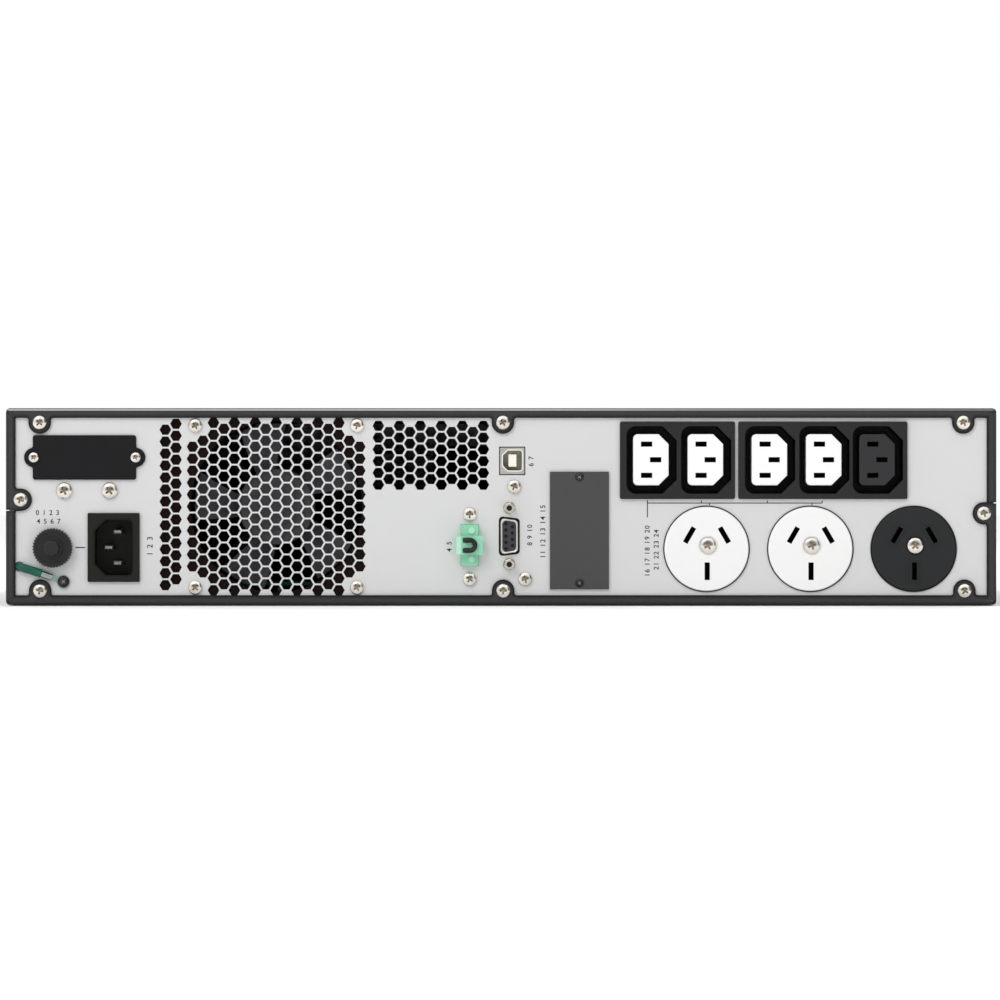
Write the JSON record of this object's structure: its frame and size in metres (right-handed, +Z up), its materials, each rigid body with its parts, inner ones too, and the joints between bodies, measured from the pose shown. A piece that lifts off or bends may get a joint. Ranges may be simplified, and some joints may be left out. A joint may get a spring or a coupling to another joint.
{
  "type": "rackmount ups",
  "caption": "Two-unit rack uninterruptible power supply with steel case, fan, outlets, inlet, control sockets, turning display and pull-out battery pack.",
  "frame": {"origin": "centre of the footprint at the underside of the case", "axes": "+Z up, +Y towards the front with the display, +X to the right as seen from behind"},
  "size_m": [0.438, 0.4362, 0.087],
  "materials": {
    "charcoal_case": "textured powder coat",
    "grey_panel": "satin powder coat",
    "black_plate": "matt powder coat",
    "grey_plate": "matt powder coat",
    "zinc_steel": "zinc plated",
    "nickel_screw": "bright nickel",
    "dark_screw": "black oxide",
    "bright_steel": "tin plated",
    "contact_brass": "plain",
    "black_plastic": "fine moulded",
    "outlet_black": "semi gloss",
    "insert_black": "semi gloss",
    "outlet_white": "semi gloss",
    "ivory_plastic": "moulded",
    "mint_plastic": "moulded",
    "wire_black": "PVC sheath",
    "sleeve_green": "PVC sheath",
    "board_green": "solder mask",
    "sink_aluminium": "black anodised extrusion",
    "capacitor_sleeve": "shrink sleeve",
    "winding": "varnished copper wire",
    "connector_plastic": "moulded",
    "battery_case": "ABS",
    "bezel_plastic": "fine texture",
    "display_lens": "clear lens",
    "key_rubber": "soft touch"
  },
  "bodies": {
    "case": {"base_chassis": "charcoal_case", "top_cover": "charcoal_case", "cover_screws": "nickel_screw", "rear_panel": "grey_panel", "port_blank": "black_plate", "panel_screws": "nickel_screw", "breaker_body": "black_plastic", "breaker_nut": "black_plastic", "inlet_housing": "black_plastic", "inlet_pins": "nickel_screw", "fan_frame": "black_plastic", "usb_shell": "bright_steel", "usb_tongue": "ivory_plastic", "serial_shell": "bright_steel", "serial_insert": "black_plastic", "serial_jackscrews": "nickel_screw", "epo_header": "mint_plastic", "comm_board": "board_green", "slot_cover": "grey_plate", "slot_screws": "dark_screw", "card_cage": "zinc_steel", "twin_outlet_block": "outlet_black", "triple_outlet_block": "outlet_black", "black_outlet_insert": "insert_black", "white_outlet_inserts": "outlet_white", "outlet_contacts": "contact_brass", "outlet_board": "board_green", "round_outlet_left": "outlet_white", "round_outlet_middle": "outlet_white", "round_outlet_right": "outlet_black", "round_outlet_screws": "nickel_screw", "earth_lead": "sleeve_green", "earth_lugs": "bright_steel", "earth_screw": "dark_screw", "power_board": "board_green", "clinch_fittings": "zinc_steel", "heat_sinks": "sink_aluminium", "capacitors": "capacitor_sleeve", "transformer": "winding", "inductors": "winding", "bay_divider": "zinc_steel", "battery_socket": "connector_plastic", "front_panel": "zinc_steel", "front_bezel": "bezel_plastic"},
    "breaker_button": {"breaker_button": "black_plastic"},
    "fan_rotor": {"fan_rotor": "black_plastic"},
    "epo_plug": {"epo_plug": "mint_plastic", "epo_jumper": "wire_black"},
    "display": {"display_housing": "bezel_plastic", "display_window": "display_lens"},
    "power_button": {"power_button": "key_rubber"},
    "up_button": {"up_button": "key_rubber"},
    "down_button": {"down_button": "key_rubber"},
    "enter_button": {"enter_button": "key_rubber"},
    "battery_access_panel": {"battery_access_panel": "bezel_plastic"},
    "battery_door": {"battery_door": "zinc_steel", "door_screws": "dark_screw"},
    "battery_pack": {"battery_tray": "zinc_steel", "battery_blocks": "battery_case", "battery_plug": "connector_plastic"}
  },
  "joints": [
    {"name": "breaker_trip", "type": "slide", "parent": "case", "child": "breaker_button", "axis": [0, -1, 0], "range_m": [0, 0.003]},
    {"name": "fan_spin", "type": "hinge", "parent": "case", "child": "fan_rotor", "pos_m": [-0.0995, -0.195, 0.0435], "axis": [0, 1, 0], "continuous": true},
    {"name": "epo_pull", "type": "slide", "parent": "case", "child": "epo_plug", "axis": [0, -1, 0], "range_m": [0, 0.01]},
    {"name": "display_turn", "type": "hinge", "parent": "case", "child": "display", "pos_m": [-0.075, 0.205, 0.0435], "axis": [0, 1, 0], "range_deg": [0, 90]},
    {"name": "power_press", "type": "slide", "parent": "display", "child": "power_button", "axis": [0, -1, 0], "range_m": [0, 0.001], "stiffness_N_per_m": 600, "springref_m": -0.0005},
    {"name": "up_press", "type": "slide", "parent": "display", "child": "up_button", "axis": [0, -1, 0], "range_m": [0, 0.001], "stiffness_N_per_m": 600, "springref_m": -0.0005},
    {"name": "down_press", "type": "slide", "parent": "display", "child": "down_button", "axis": [0, -1, 0], "range_m": [0, 0.001], "stiffness_N_per_m": 600, "springref_m": -0.0005},
    {"name": "enter_press", "type": "slide", "parent": "display", "child": "enter_button", "axis": [0, -1, 0], "range_m": [0, 0.001], "stiffness_N_per_m": 600, "springref_m": -0.0005},
    {"name": "access_panel_pull", "type": "slide", "parent": "case", "child": "battery_access_panel", "axis": [0, 1, 0], "range_m": [0, 0.29]},
    {"name": "door_pull", "type": "slide", "parent": "case", "child": "battery_door", "axis": [0, 1, 0], "range_m": [0, 0.27]},
    {"name": "battery_pull", "type": "slide", "parent": "case", "child": "battery_pack", "axis": [0, 1, 0], "range_m": [0, 0.25]}
  ],
  "couplings": [
    {"joint": "door_pull", "follows": "access_panel_pull", "ratio": 0.93},
    {"joint": "battery_pull", "follows": "access_panel_pull", "ratio": 0.86}
  ]
}
